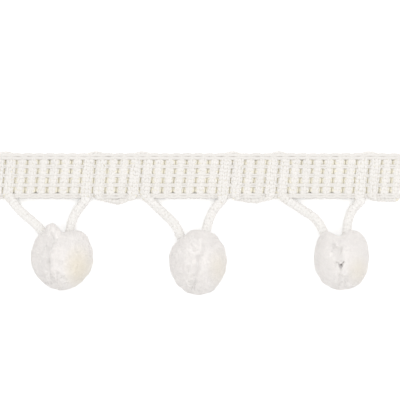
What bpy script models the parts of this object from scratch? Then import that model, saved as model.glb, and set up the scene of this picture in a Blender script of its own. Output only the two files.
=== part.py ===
"""A cut length of pompom fringe trim, lying face up and flat on the plane z = 0.

The heading is a crocheted braid. Soft cord is laid up and down across it in columns, and five
rows of chain stitch run along it, each passing in front of, between and behind the columns.
The pompom cord comes up from one pompom as its right leg, turns over the top edge, floats along
the lower edge under two columns of ground cord, turns over the top edge again, and leaves as
the left leg of the next pompom. The ground cord fills the other columns.

X runs along the trim, Y from the pompoms towards the heading, and Z up from the surface.
Neighbouring pieces are kept a small gap apart.
"""

import itertools
import math
from collections import namedtuple

import bmesh
import bpy
from mathutils import Matrix, Vector

MM = 0.001

# ---------------------------------------------------------------- driving dimensions

GAP = 0.3 * MM  # clearance between pieces that touch on the real trim

# Columns of cord across the heading, and their widths along the trim. A pompom hangs from its
# left and right leg columns. Between two pompoms, the outer columns are pompom cord too.
COLUMN_WIDTH = {
    "left_leg": 4.8 * MM,
    "ground": 4.6 * MM,
    "right_leg": 5.4 * MM,
    "outer": 5.2 * MM,
}
ABOVE_POMPOM = ("left_leg",) + 6 * ("ground",) + ("right_leg",)
BETWEEN_POMPOMS = ("outer", "ground", "ground", "outer")
LEFT_END, RIGHT_END = BETWEEN_POMPOMS[1:], BETWEEN_POMPOMS[:-1]
COLUMN_SLANT = math.tan(math.radians(6.0))  # the columns lean to the right towards the top

# Rows of chain stitch, from the top edge to the bottom edge.
Row = namedtuple("Row", "y width")
ROWS = (
    Row(28.4 * MM, 2.2 * MM),
    Row(24.0 * MM, 1.0 * MM),
    Row(20.2 * MM, 1.0 * MM),
    Row(16.2 * MM, 1.0 * MM),
    Row(11.6 * MM, 1.9 * MM),
)
TOP_ROW, BOTTOM_ROW = ROWS[0], ROWS[-1]
HEADING_MIDDLE_Y = (TOP_ROW.y + BOTTOM_ROW.y) / 2
CREST_Z = 4.0 * MM  # top of a chain stitch, on the crown of a column
VALLEY_Z = 3.65 * MM  # and where it dips between two columns
SHOULDER = 0.28  # share of a column's width from its middle to a stitch's shoulder

# The cord: full between the rows, and gripped where a row crosses it.
CORD_Z = 2.1 * MM  # height of its centreline inside the heading
SLIT = 0.8 * MM  # open slit between two columns, midway between rows
GRIPPED_SLIT = 1.3 * MM  # the same where a row grips them
FULL_THICKNESS = 3.6 * MM
GRIPPED_THICKNESS = 1.8 * MM
PLUMPNESS_SPREAD = 0.2 * MM  # how unevenly the slits open
HOLE_SIDE_ROOM = 0.4 * MM  # room beside the gripped cord in a row's hole
HOLE_RISE_ROOM = 0.45 * MM  # and above and below it
FLAT_SHARE = 0.3  # half the flat top of a cord's section, as a share of its width

# Hairpin turns of the cord at the edges of the heading.
TURN_WIDTH = 2.1 * MM
TURN_START = 0.3 * MM  # how far inside an edge row a turn starts
BOTTOM_START = BOTTOM_ROW.y + BOTTOM_ROW.width / 2 + TURN_START
TURN_ANGLES = (0, 50, 90, 130, 180)
HUMP_RISE = 0.7 * MM  # extra height of the pompom cord's turns, over the top edge

# Floats of the pompom cord under the lower edge, as deep as they hang in their middles.
FLOAT_Y = 9.3 * MM
FLOAT_SAG = 0.15 * MM
FLOAT_CORNER = 2.0 * MM  # how far sideways the cord goes while it turns into a float
FLOAT_ANGLES = (0, 45, 90)

LEG_DIAMETER = 3.5 * MM
LEG_RESOLUTION = 2
LEG_POINTS = 9

# Pompoms: centre and half sizes, how square the outline is on the side of the legs, the crease
# where the pile parts on the upper side, and how far the pile stands out between the legs.
Pompom = namedtuple(
    "Pompom", "x y half_x half_y squareness crease_x crease_tilt pit_y tuft"
)
POMPOMS = (
    Pompom(-52.1 * MM, -15.3 * MM, 13.0 * MM, 12.7 * MM, 3.5, -4.8 * MM, -4.0, 0.0, 2.6 * MM),
    Pompom(5.0 * MM, -16.3 * MM, 12.1 * MM, 13.8 * MM, 2.1, -0.3 * MM, -9.0, -9.5 * MM, 0.0),
    Pompom(65.3 * MM, -15.3 * MM, 11.5 * MM, 12.9 * MM, 2.8, -0.6 * MM, 0.0, -2.4 * MM, 0.0),
)
ROUNDNESS = 1.85  # the same as squareness, for the side away from the legs
POMPOM_HALF_Z = 11.9 * MM
POMPOM_Z = 11.2 * MM  # height of the middle, so that each pompom sits on a small flat spot
CORE_SHARE = 0.66  # solid core of a pompom, as a share of its size
LOCKS_PER_SIDE = 4  # locks along each side of the cube that is rounded into the core
LOCK_ROOT = 0.7  # width of a lock at its root, as a share of its cell
LOCK_END = 0.9  # and at its end
LOCK_SPREAD = 0.025  # how unevenly the pile is cut
CREASE_DEPTH = 0.14  # of a pompom's size
CREASE_WIDTH = 1.6 * MM
PIT_DEPTH = 0.12
PIT_WIDTH = 2.2 * MM
PARTING_ANGLE = math.radians(22.0)  # no locks this near to where a leg goes in
TUFT_ANGLE = math.radians(12.0)  # pile this near to halfway between the legs is their tuft

# Legs: (x, y, z) in millimetres just below the heading, at two places on the way down, and where
# the leg goes into the pile.
LegRoute = namedtuple("LegRoute", "pompom side below upper lower entry")
LEG_ROUTES = (
    LegRoute(1, "left", (-73.4, 7.7, 2.2), (-69.0, 4.6, 3.4), (-63.9, -0.4, 6.2), (-60.9, -4.3, 8.0)),
    LegRoute(1, "right", (-43.3, 7.6, 2.2), (-46.1, 4.6, 3.4), (-47.9, 0.6, 5.6), (-48.5, -3.4, 7.6)),
    LegRoute(2, "left", (-15.6, 7.5, 2.2), (-9.8, 4.3, 3.4), (-5.0, -0.6, 6.0), (-2.1, -6.0, 7.5)),
    LegRoute(2, "right", (13.7, 7.6, 2.2), (10.9, 4.6, 3.4), (9.2, 0.8, 5.8), (8.4, -3.5, 8.2)),
    LegRoute(3, "left", (42.2, 7.9, 2.2), (48.4, 5.4, 3.4), (54.4, 1.0, 5.9), (57.9, -5.6, 7.5)),
    LegRoute(3, "right", (71.4, 7.5, 2.2), (69.1, 4.6, 3.4), (68.0, 0.6, 5.4), (67.2, -3.8, 7.3)),
)
LEG_TIP_SHARE = 0.62  # how thin a leg is pinched at the pompom's core

COLOURS = {
    "pompom_cord": (0.83, 0.80, 0.76, 1.0),
    "ground_cord": (0.82, 0.79, 0.75, 1.0),
    "chain_row": (0.84, 0.82, 0.78, 1.0),
    "leg": (0.84, 0.81, 0.78, 1.0),
    "pompom": (0.82, 0.78, 0.74, 1.0),
}
ROUGHNESS = 0.9

Column = namedtuple("Column", "kind x width")
Station = namedtuple("Station", "centre normal width thickness")

# ---------------------------------------------------------------- helpers


def wobble(*keys):
    """A fixed unevenness from -1 to 1, the same each time for the same keys."""
    seed = sum(key * factor for key, factor in zip(keys, (12.9898, 78.233, 37.719)))
    return 2.0 * math.modf(abs(math.sin(seed + 1.7)) * 437.585)[0] - 1.0


def clear_scene():
    for obj in list(bpy.data.objects):
        bpy.data.objects.remove(obj, do_unlink=True)


def cloth_material(kind):
    material = bpy.data.materials.new(kind)
    material.use_nodes = True
    material.diffuse_color = COLOURS[kind]
    shader = material.node_tree.nodes["Principled BSDF"]
    shader.inputs["Base Color"].default_value = COLOURS[kind]
    shader.inputs["Roughness"].default_value = ROUGHNESS
    shader.inputs["Metallic"].default_value = 0.0
    return material


def finish(obj, collection, parent, material):
    """Puts a new object into the trim, under the trim's empty."""
    collection.objects.link(obj)
    obj.parent = parent
    obj.data.materials.clear()
    obj.data.materials.append(material)
    return obj


def mesh_object(name, bm):
    bmesh.ops.recalc_face_normals(bm, faces=bm.faces)
    mesh = bpy.data.meshes.new(name)
    bm.to_mesh(mesh)
    bm.free()
    return bpy.data.objects.new(name, mesh)


# ---------------------------------------------------------------- layout of the heading


def column_layout():
    """Every column from the left end to the right end, with the trim's middle at x = 0."""
    middle = (ABOVE_POMPOM + BETWEEN_POMPOMS) * (len(POMPOMS) - 1) + ABOVE_POMPOM
    kinds = LEFT_END + middle + RIGHT_END
    edge = -sum(COLUMN_WIDTH[kind] for kind in kinds) / 2
    columns = []
    for kind in kinds:
        width = COLUMN_WIDTH[kind]
        columns.append(Column(kind, edge + width / 2, width))
        edge += width
    return columns


def column_runs(columns):
    """Neighbouring columns of one cord. A run has an even number of columns, so that it starts
    and ends at the lower edge."""
    grouped = itertools.groupby(columns, key=lambda column: column.kind == "ground")
    return [list(run) for _, run in grouped]


def ground_stretches(runs):
    """The columns of each stretch of ground cord."""
    return [run for run in runs if run[0].kind == "ground"]


def pompom_stretches(runs):
    """The columns of each stretch of pompom cord: from one pompom's right leg to the next one's
    left leg, or from or to an end of the trim."""
    stretches = []
    for run in runs:
        if run[0].kind == "right_leg" or not stretches and run[0].kind == "outer":
            stretches.append(list(run))
        elif run[0].kind == "outer":
            stretches[-1] += run
    return stretches


def lean(y):
    """How far to the right the columns have leant at the height y."""
    return COLUMN_SLANT * (y - HEADING_MIDDLE_Y)


def x_at(column, y):
    return column.x + lean(y)


def trim_ends(columns, y):
    first, last = columns[0], columns[-1]
    return x_at(first, y) - first.width / 2, x_at(last, y) + last.width / 2


# ---------------------------------------------------------------- the cord in the heading


def column_stations(column):
    """The cord's sections up one column, between the edge rows: gripped at each inner row,
    and full midway between rows."""
    stations = []
    for number, (upper, lower) in enumerate(zip(ROWS, ROWS[1:])):
        top = upper.y - upper.width / 2
        bottom = lower.y + lower.width / 2
        slit = SLIT + PLUMPNESS_SPREAD * wobble(column.x / MM, number)
        y = (top + bottom) / 2
        centre = Vector((x_at(column, y), y, CORD_Z))
        stations.append(
            Station(centre, Vector((1, 0, 0)), column.width - slit, FULL_THICKNESS)
        )
        if lower is not BOTTOM_ROW:
            centre = Vector((x_at(column, lower.y), lower.y, CORD_Z))
            gripped = column.width - GRIPPED_SLIT
            stations.append(
                Station(centre, Vector((1, 0, 0)), gripped, GRIPPED_THICKNESS)
            )
    return stations[::-1]


def bent_station(x, y, outward, column):
    """A section where the cord bends: as wide as a gripped column where the cord still runs
    up and down, and narrower the more it lies across."""
    outward = Vector((*outward, 0)).normalized()
    gripped = column.width - GRIPPED_SLIT
    width = gripped + (TURN_WIDTH - gripped) * abs(outward.y)
    return Station(Vector((x, y, CORD_Z)), outward, width, GRIPPED_THICKNESS)


def turn_stations(first, second, start_y, reach):
    """A hairpin from one column to the next. A positive reach turns at the top edge, and a
    negative one at the bottom edge."""
    left, right = x_at(first, start_y), x_at(second, start_y)
    middle, radius = (left + right) / 2, (right - left) / 2
    stations = []
    for angle in map(math.radians, TURN_ANGLES):
        x = middle - radius * math.cos(angle)
        y = start_y + reach * math.sin(angle)
        outward = (-math.cos(angle) / radius, math.sin(angle) / reach)
        stations.append(bent_station(x, y, outward, first))
    return stations


def top_turn(first, second):
    start = TOP_ROW.y - TOP_ROW.width / 2 - TURN_START
    reach = TOP_ROW.y - start + (0.0 if first.kind == "ground" else HUMP_RISE)
    return turn_stations(first, second, start, reach)


def bottom_turn(first, second):
    return turn_stations(first, second, BOTTOM_START, BOTTOM_ROW.y - BOTTOM_START)


def float_corner(column, side):
    """The corner where the pompom cord comes down a column and floats off to one side."""
    reach = BOTTOM_START - FLOAT_Y
    stations = []
    for angle in map(math.radians, FLOAT_ANGLES):
        x = x_at(column, BOTTOM_START) + side * FLOAT_CORNER * (1 - math.cos(angle))
        y = BOTTOM_START - reach * math.sin(angle)
        outward = (-side * math.cos(angle) / FLOAT_CORNER, -math.sin(angle) / reach)
        stations.append(bent_station(x, y, outward, column))
    return stations


def float_point(x, y, column):
    return [bent_station(x, y, (0, -1), column)]


def end_stations(column, low):
    """The cord coming up through the bottom row, from its end at a height of low."""
    return [bent_station(x_at(column, y), y, (1, 0), column) for y in (low, BOTTOM_START)]


def ground_stations(run):
    """A stretch of ground cord: up the first column, down the next, and so on. Its ends stay
    inside the bottom row."""
    low = BOTTOM_ROW.y - BOTTOM_ROW.width / 2 + GAP
    stations = end_stations(run[0], low)
    for first, second in zip(run[::2], run[1::2]):
        if first is not run[0]:
            stations += bottom_turn(before, first)
        stations += column_stations(first) + top_turn(first, second)
        stations += column_stations(second)[::-1]
        before = second
    return stations + end_stations(run[-1], low)[::-1]


def pompom_stations(run, ends):
    """A stretch of pompom cord. Where it doesn't come from or go to a leg, its float ends at
    an end of the trim."""
    low = BOTTOM_ROW.y - BOTTOM_ROW.width / 2 - GAP
    from_leg, to_leg = run[0].kind == "right_leg", run[-1].kind == "left_leg"
    stations = []
    if from_leg:
        leg, outer = run[:2]
        stations += end_stations(leg, low) + column_stations(leg) + top_turn(leg, outer)
        stations += column_stations(outer)[::-1] + float_corner(outer, 1)
    else:
        stations += float_point(ends[0], FLOAT_Y, run[0])
    if from_leg and to_leg:
        stations += float_point((run[1].x + run[2].x) / 2, FLOAT_Y - FLOAT_SAG, run[1])
    if to_leg:
        outer, leg = run[-2:]
        stations += float_corner(outer, -1)[::-1] + column_stations(outer)
        stations += top_turn(outer, leg) + column_stations(leg)[::-1]
        stations += end_stations(leg, low)[::-1]
    else:
        stations += float_point(ends[1], FLOAT_Y, run[-1])
    return stations


def section_ring(bm, station, heading):
    """A flattened six-sided section, its width along the station's in-plane normal."""
    side = station.normal
    if side.cross(heading).z > 0:
        side = -side
    half, flat = station.width / 2, FLAT_SHARE * station.width
    rise = station.thickness / 2
    outline = ((-half, 0), (-flat, rise), (flat, rise), (half, 0), (flat, -rise), (-flat, -rise))
    return [
        bm.verts.new(station.centre + side * across + Vector((0, 0, up)))
        for across, up in outline
    ]


def loft_cord(name, stations):
    """A closed solid through the sections of a cord."""
    bm = bmesh.new()
    centres = [station.centre for station in stations]
    headings = [
        centres[min(i + 1, len(centres) - 1)] - centres[max(i - 1, 0)]
        for i in range(len(centres))
    ]
    rings = [section_ring(bm, *pair) for pair in zip(stations, headings)]
    for near, far in zip(rings, rings[1:]):
        for i in range(len(near)):
            j = (i + 1) % len(near)
            bm.faces.new((near[i], near[j], far[j], far[i]))
    bm.faces.new(rings[0])
    bm.faces.new(rings[-1])
    return mesh_object(name, bm)


# ---------------------------------------------------------------- rows of chain stitch


def held_columns(runs, row):
    """The groups of columns that share one hole of a row: a hairpin turn inside an edge row
    fills one long hole, and elsewhere each column has its own."""
    groups = []
    for run in runs:
        if row is TOP_ROW:
            groups += [run[i : i + 2] for i in range(0, len(run), 2)]
        elif row is BOTTOM_ROW:
            groups += [run[:1]] + [run[i : i + 2] for i in range(1, len(run) - 1, 2)]
            groups.append(run[-1:])
        else:
            groups += [[column] for column in run]
    return groups


def add_spline(curve, points):
    spline = curve.splines.new("POLY")
    spline.points.add(len(points) - 1)
    for point, (x, z) in zip(spline.points, points):
        point.co = (x, z, 0, 1)
    spline.use_cyclic_u = True


def chain_row(name, row, columns, runs):
    """One row of chain stitch, as a flat outline seen along Y: its underside is flat, its top
    rises over each column, and a hole lets the columns through."""
    left, right = trim_ends(columns, row.y)
    shift = lean(row.y)
    top = [(left, VALLEY_Z)]
    for column in columns:
        for side in (-1, 1):
            top.append((column.x + shift + side * SHOULDER * column.width, CREST_Z))
        edge = column.x + shift + column.width / 2
        top.append((edge, VALLEY_Z))
    curve = bpy.data.curves.new(name, "CURVE")
    curve.dimensions = "2D"
    curve.fill_mode = "BOTH"
    curve.extrude = row.width / 2
    add_spline(curve, [(right, 0.0), (left, 0.0)] + top)
    rise = GRIPPED_THICKNESS / 2 + HOLE_RISE_ROOM
    for group in held_columns(runs, row):
        first, last = group[0], group[-1]
        side = HOLE_SIDE_ROOM - GRIPPED_SLIT / 2
        low_x = first.x - first.width / 2 - side + shift
        high_x = last.x + last.width / 2 + side + shift
        low_z, high_z = CORD_Z - rise, CORD_Z + rise
        add_spline(
            curve, [(low_x, low_z), (high_x, low_z), (high_x, high_z), (low_x, high_z)]
        )
    obj = bpy.data.objects.new(name, curve)
    obj.rotation_euler.x = math.radians(90.0)
    obj.location.y = row.y
    return obj


# ---------------------------------------------------------------- legs and pompoms


def pompom_centre(pompom):
    return Vector((pompom.x, pompom.y, POMPOM_Z))


def shell_distance(pompom, direction, share):
    """How far the pompom's surface, scaled by share, is from its middle in a direction."""
    x, y, z = direction
    power = pompom.squareness if y > 0 else ROUNDNESS
    across = abs(x / pompom.half_x) ** power + abs(y / pompom.half_y) ** power
    return share / math.hypot(across ** (1 / power), z / POMPOM_HALF_Z)


def pile_distance(pompom, direction):
    """The pile's surface: the pompom's own size, less the crease and the pit in its upper side."""
    reach = shell_distance(pompom, direction, 1.0)
    point = direction * reach
    tilt = math.tan(math.radians(pompom.crease_tilt))
    beside = point.x - (pompom.crease_x - tilt * point.y)
    upper = max(0.0, min(1.0, 3.0 * point.z / POMPOM_HALF_Z))
    crease = CREASE_DEPTH * math.exp(-((beside / CREASE_WIDTH) ** 2))
    from_pit = math.hypot(beside, point.y - pompom.pit_y)
    pit = PIT_DEPTH * math.exp(-((from_pit / PIT_WIDTH) ** 2))
    return reach * (1.0 - upper * (crease + pit))


def leg_direction(pompom, route):
    """The direction from the pompom's middle to where a leg reaches its pile."""
    return (Vector(route.entry) * MM - pompom_centre(pompom)).normalized()


def smooth_points(knots, count):
    """Evenly parametrised points on a Catmull-Rom curve through the knots."""
    padded = [2 * knots[0] - knots[1], *knots, 2 * knots[-1] - knots[-2]]
    spans = len(knots) - 1
    points = []
    for i in range(count):
        place = spans * i / (count - 1)
        span = min(int(place), spans - 1)
        t = place - span
        a, b, c, d = padded[span : span + 4]
        points.append(
            0.5
            * (
                2 * b
                + (c - a) * t
                + (2 * a - 5 * b + 4 * c - d) * t**2
                + (3 * b - a - 3 * c + d) * t**3
            )
        )
    return points


def pompom_leg(name, column, pompom, route):
    """A leg of the pompom cord: straight out of the heading, then along its route and into
    the parted pile, pinched towards the pompom's core."""
    start_y = BOTTOM_ROW.y - BOTTOM_ROW.width / 2 - 2 * GAP
    x = x_at(column, start_y)
    start = Vector((x, start_y, CORD_Z))
    direction = leg_direction(pompom, route)
    core = direction * (shell_distance(pompom, direction, CORE_SHARE) + 1.5 * GAP)
    knots = [Vector((x, start_y - 2 * GAP, CORD_Z))]
    places = (route.below, route.upper, route.lower, route.entry)
    knots += [Vector(place) * MM for place in places]
    knots.append(pompom_centre(pompom) + core)
    points = [start] + smooth_points(knots, LEG_POINTS)
    curve = bpy.data.curves.new(name, "CURVE")
    curve.dimensions = "3D"
    curve.bevel_depth = LEG_DIAMETER / 2
    curve.bevel_resolution = LEG_RESOLUTION
    curve.use_fill_caps = True
    spline = curve.splines.new("POLY")
    spline.points.add(len(points) - 1)
    for point, place in zip(spline.points, points):
        point.co = (*place, 1)
    spline.points[-1].radius = LEG_TIP_SHARE
    return bpy.data.objects.new(name, curve)


def round_cube():
    """A cube cut into square cells and rounded into a unit sphere."""
    bm = bmesh.new()
    bmesh.ops.create_cube(bm, size=2.0)
    bmesh.ops.subdivide_edges(bm, edges=bm.edges, cuts=LOCKS_PER_SIDE - 1, use_grid_fill=True)
    for vert in bm.verts:
        # The tangent makes the cells of the rounded cube nearly equal.
        vert.co = Vector([math.tan(c * math.pi / 4) for c in vert.co]).normalized()
    return bm


def on_pile(pompom, direction, share):
    """A point of the pile's surface, or of the floor where the pile would reach below it."""
    reach = share * pile_distance(pompom, direction)
    if direction.z < 0:
        reach = min(reach, POMPOM_Z / -direction.z)
    return direction * reach


def grow_lock(bm, pompom, cell, share):
    """Grows a lock on a cell of the core: narrower at its root, and with its end on the
    pile's surface."""
    middle = cell.calc_center_median()
    roots = list(cell.verts)
    end = bmesh.ops.extrude_discrete_faces(bm, faces=[cell])["faces"][0]
    for root, tip in zip(roots, end.verts):
        outward = middle.normalized().lerp(tip.co.normalized(), LOCK_END).normalized()
        tip.co = on_pile(pompom, outward, share)
        root.co = middle.lerp(root.co, LOCK_ROOT)


def pompom_solid(name, number, pompom, leg_directions):
    """A pompom: a solid core with locks of cut pile that stand apart on it."""
    bm = round_cube()
    turn = Matrix.Rotation(math.radians(pompom.crease_tilt), 3, "Z")
    bmesh.ops.rotate(bm, verts=bm.verts, cent=(0, 0, 0), matrix=turn)
    for vert in bm.verts:
        vert.co *= shell_distance(pompom, vert.co, CORE_SHARE)
    cells = [
        face
        for face in bm.faces
        if all(face.calc_center_median().angle(leg) > PARTING_ANGLE for leg in leg_directions)
    ]
    bmesh.ops.inset_individual(bm, faces=cells, thickness=0.0)
    between_legs = sum(leg_directions, Vector())
    for order, cell in enumerate(cells):
        share = 1.0 + LOCK_SPREAD * wobble(number, order)
        if cell.calc_center_median().angle(between_legs) < TUFT_ANGLE:
            share += pompom.tuft / pompom.half_y
        grow_lock(bm, pompom, cell, share)
    bmesh.ops.translate(bm, verts=bm.verts, vec=pompom_centre(pompom))
    return mesh_object(name, bm)


# ---------------------------------------------------------------- the whole trim


def build_trim():
    clear_scene()
    collection = bpy.data.collections.new("pompom_fringe_trim")
    bpy.context.scene.collection.children.link(collection)
    trim = bpy.data.objects.new("trim", None)
    collection.objects.link(trim)
    materials = {kind: cloth_material(kind) for kind in COLOURS}

    columns = column_layout()
    runs = column_runs(columns)
    for number, run in enumerate(ground_stretches(runs), 1):
        cord = loft_cord(f"ground_cord_{number}", ground_stations(run))
        finish(cord, collection, trim, materials["ground_cord"])
    for number, run in enumerate(pompom_stretches(runs), 1):
        stations = pompom_stations(run, trim_ends(columns, FLOAT_Y))
        cord = loft_cord(f"pompom_cord_{number}", stations)
        finish(cord, collection, trim, materials["pompom_cord"])
    for number, row in enumerate(ROWS, 1):
        chain = chain_row(f"chain_row_{number}", row, columns, runs)
        finish(chain, collection, trim, materials["chain_row"])
    for number, pompom in enumerate(POMPOMS, 1):
        routes = [route for route in LEG_ROUTES if route.pompom == number]
        for route in routes:
            kind = f"{route.side}_leg"
            column = [column for column in columns if column.kind == kind][number - 1]
            leg = pompom_leg(f"leg_{number}_{route.side}", column, pompom, route)
            finish(leg, collection, trim, materials["leg"])
        directions = [leg_direction(pompom, route) for route in routes]
        ball = pompom_solid(f"pompom_{number}", number, pompom, directions)
        finish(ball, collection, trim, materials["pompom"])


build_trim()
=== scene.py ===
"""The looks of a cut length of pompom fringe trim, piece by piece in place of its solids.

Every cord of the heading is knitted from V-shaped stitches, every row is a chain of yarn loops,
and every pompom is a ball of cut yarn ends. Lengths are in millimetres until a mesh is made.
X runs along the trim, Y from the pompoms towards the heading, and Z up from the surface.
"""

import itertools
import math
from collections import namedtuple

import bpy
import numpy as np
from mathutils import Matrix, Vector


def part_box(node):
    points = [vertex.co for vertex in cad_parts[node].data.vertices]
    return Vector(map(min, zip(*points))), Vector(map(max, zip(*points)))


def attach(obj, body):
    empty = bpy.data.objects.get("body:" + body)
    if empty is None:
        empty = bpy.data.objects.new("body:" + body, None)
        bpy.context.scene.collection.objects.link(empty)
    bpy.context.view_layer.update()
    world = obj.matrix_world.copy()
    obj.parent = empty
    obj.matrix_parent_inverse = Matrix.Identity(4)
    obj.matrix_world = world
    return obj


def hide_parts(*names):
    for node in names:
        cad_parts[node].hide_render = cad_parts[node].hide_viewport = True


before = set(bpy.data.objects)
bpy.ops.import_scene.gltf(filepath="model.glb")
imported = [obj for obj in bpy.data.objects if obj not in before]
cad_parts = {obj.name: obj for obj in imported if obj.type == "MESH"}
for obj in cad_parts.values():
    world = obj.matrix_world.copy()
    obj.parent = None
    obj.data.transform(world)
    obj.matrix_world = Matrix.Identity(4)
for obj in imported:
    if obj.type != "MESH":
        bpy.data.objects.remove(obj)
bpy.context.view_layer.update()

MM = 0.001
TINY = 1e-9
UPWARD, SIDEWAYS = (0.0, 0.0, 1.0), (1.0, 0.0, 0.0)

# -------- heading

# Widths of the columns of cord along the trim, and how they follow each other.
COLUMN_WIDTH = {"left_leg": 4.8, "ground": 4.6, "right_leg": 5.4, "outer": 5.2}
ABOVE_POMPOM = ("left_leg",) + 6 * ("ground",) + ("right_leg",)
BETWEEN_POMPOMS = ("outer", "ground", "ground", "outer")
POMPOM_COUNT = 3
COLUMN_SLANT = math.tan(math.radians(6.0))

CAD_ROWS = [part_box(f"chain_row_{number}") for number in (1, 2, 3, 4, 5)]

CORD_Z = 2.1  # height of a cord's middle in the heading
GROUND_SLIT, POMPOM_SLIT = 0.7, 0.25  # beside columns of either cord
SLIT_SPREAD = 0.25  # how uneven they are
GROUND_FULL, GROUND_GRIPPED = 3.55, 3.3  # ground cord's thickness between rows and under them
FULL_REACH = 0.8  # how far each way from midway between rows it is full
POMPOM_FULL = 3.5  # thickness of pompom cord
EDGE_THICKNESS = 2.9  # of a cord inside an edge row
CORE_GAP = 0.04  # between the insides of neighbouring columns

# A hairpin turn inside an edge row.
TURN_START = 0.2  # how far inside the row the columns start to turn
TURN_ANGLES = range(0, 181, 30)
TURN_WIDTH, TURN_SQUARE = 2.3, 0.5  # of the cord where it turns most
TURN_SLIT = 0.7  # beside the columns where they start
HUMP_RISE = 1.0  # how much further out the pompom cord turns at the top edge
END_SLIT = 0.9  # beside a cut end of ground cord
END_INSET = 0.2  # how far inside the bottom row it ends

FLOAT_WIDTH, FLOAT_THICKNESS, FLOAT_Z, FLOAT_SQUARE = 3.1, 2.9, 1.75, 0.4
FLOAT_Y = (10.5, 9.5, 10.0, 10.5)  # the lowest that each stretch of pompom cord floats
# The pompom cord's turn into a float: aside from its column's middle, Y, and share of the turn.
Corner = namedtuple("Corner", "aside y share")
FLOAT_CORNER = (
    Corner(0.0, 12.85, 0.0),
    Corner(0.05, 12.1, 0.05),
    Corner(0.6, 11.45, 0.6),
    Corner(2.3, 10.95, 1.0),
)
LEG_START = {"left": 12.4, "right": 11.5}  # the Y where a leg leaves its column
COLUMN_BOTTOM = 13.8  # above this Y a leg's column is straight
LEG_GAP = 0.3  # how far below the bottom row the heading's cord becomes a leg
CURVE_STEPS = 8  # from one knot of a smooth course to the next

# -------- knitting

WALES = 8  # columns of stitches round a cord
STITCH_PITCH = 1.6
SQUARENESS = 4.0  # of a cord's section where the heading flattens it; a leg's is round
SECTION_ASPECT = 1.25
SECTION_SAMPLES = 1441
GIRTH_SHARE = 3.6  # the way round a section, in half its width and thickness together
TWIST = 0.002  # turns of a cord for each millimetre along it
PATH_STEP = 0.2
PATH_SOFTNESS = 0.55  # how far its corners are rounded

CORE_INSET = 0.42  # how far the inside of a cord is below its surface
CORE_STEP, CORE_SIDES = 0.8, 12
CORE_END = 0.35  # share of its size that it tapers to at a cord's ends

# An arm of a V stitch: along it in stitch pitches, across it in wales, and its height and girth.
Arm = namedtuple("Arm", "along across height girth")
STITCH_ARM = (
    Arm(-0.15, 0.07, -0.42, 0.72),
    Arm(0.28, 0.15, -0.02, 1.0),
    Arm(0.75, 0.26, 0.0, 1.0),
    Arm(1.22, 0.36, -0.5, 0.66),
)
ARM_UNEVENNESS = Arm(0.08, 0.048, 0.056, 0.06)
ARM_SHARE = 0.335  # half width of an arm, in wales
ARM_DEPTH, ARM_SIDES = 0.36, 5
FIRST_STITCH, LAST_STITCH = 0.3, 2.2  # how near a cord's ends they may start

# -------- chain stitch

# A row's links: how far off the row's middle they lie, the radius of a strand, how far from the
# links' middle it runs, the height of its top, and its dip over a slit.
RowYarn = namedtuple("RowYarn", "shift radius spread crown dip")
TOP_YARN = RowYarn(-0.2, 0.76, 0.66, 4.0, 0.2)
MIDDLE_YARN = RowYarn(0.0, 0.48, 0.36, 3.87, 0.1)
BOTTOM_YARN = RowYarn(0.1, 0.64, 0.54, 4.0, 0.2)
ROW_YARNS = (TOP_YARN, MIDDLE_YARN, MIDDLE_YARN, MIDDLE_YARN, BOTTOM_YARN)

# A strand of a link: along it, how far it is from the link's middle, its height, as a share of
# the strand's radius, and its girth.
Link = namedtuple("Link", "along spread height girth")
OVER_SLIT = (  # from the middle of one column to the middle of the next
    Link(-0.13, 0.35, -0.8, 0.7),
    Link(0.05, 0.6, -0.25, 0.95),
    Link(0.27, 0.9, 0.0, 1.0),
    Link(0.52, 1.05, 0.0, 1.0),
    Link(0.76, 0.92, 0.0, 1.0),
    Link(0.97, 0.6, -0.25, 0.92),
    Link(1.13, 0.35, -0.85, 0.68),
)
TO_EDGE = (  # from the middle of a column to its edge, where the link goes down beside it
    Link(-0.26, 0.35, -0.8, 0.7),
    Link(0.1, 0.6, -0.2, 0.95),
    Link(0.5, 0.95, -0.05, 1.0),
    Link(0.8, 0.85, -0.9, 0.95),
    Link(0.98, 0.75, -2.2, 0.8),
)
IN_SLIT = (  # from a slit's middle down into it both ways, beside pompom cord
    Link(-1.0, 0.8, -2.4, 0.7),
    Link(-0.6, 0.9, -0.9, 0.9),
    Link(0.0, 1.0, -0.1, 1.0),
    Link(0.6, 0.9, -0.9, 0.9),
    Link(1.0, 0.8, -2.4, 0.7),
)
IN_SLIT_REACH = 0.85
LINK_SIDES = 6
LINK_DEPTH = 0.72  # half depth of a strand, in half widths
MIDDLE_PINCH = 0.35  # middle rows' links come together by this share only
LINK_SWING, LINK_LIFT = 0.1, 0.05  # how uneven they are, sideways and upward
BACK_Z, BACK_RADIUS = 0.42, 0.38  # of the strands behind
BACK_WAVE, BACK_RISE = 0.45, 0.25  # how far they come together, as a share, and rise there

# -------- legs and pompoms

LEG_DIAMETER = 4.0
LEG_END_DEPTH = 0.72  # how far from a pompom's middle it ends, as a share of its entry's
LEG_END_TAPER = 0.9
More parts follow.
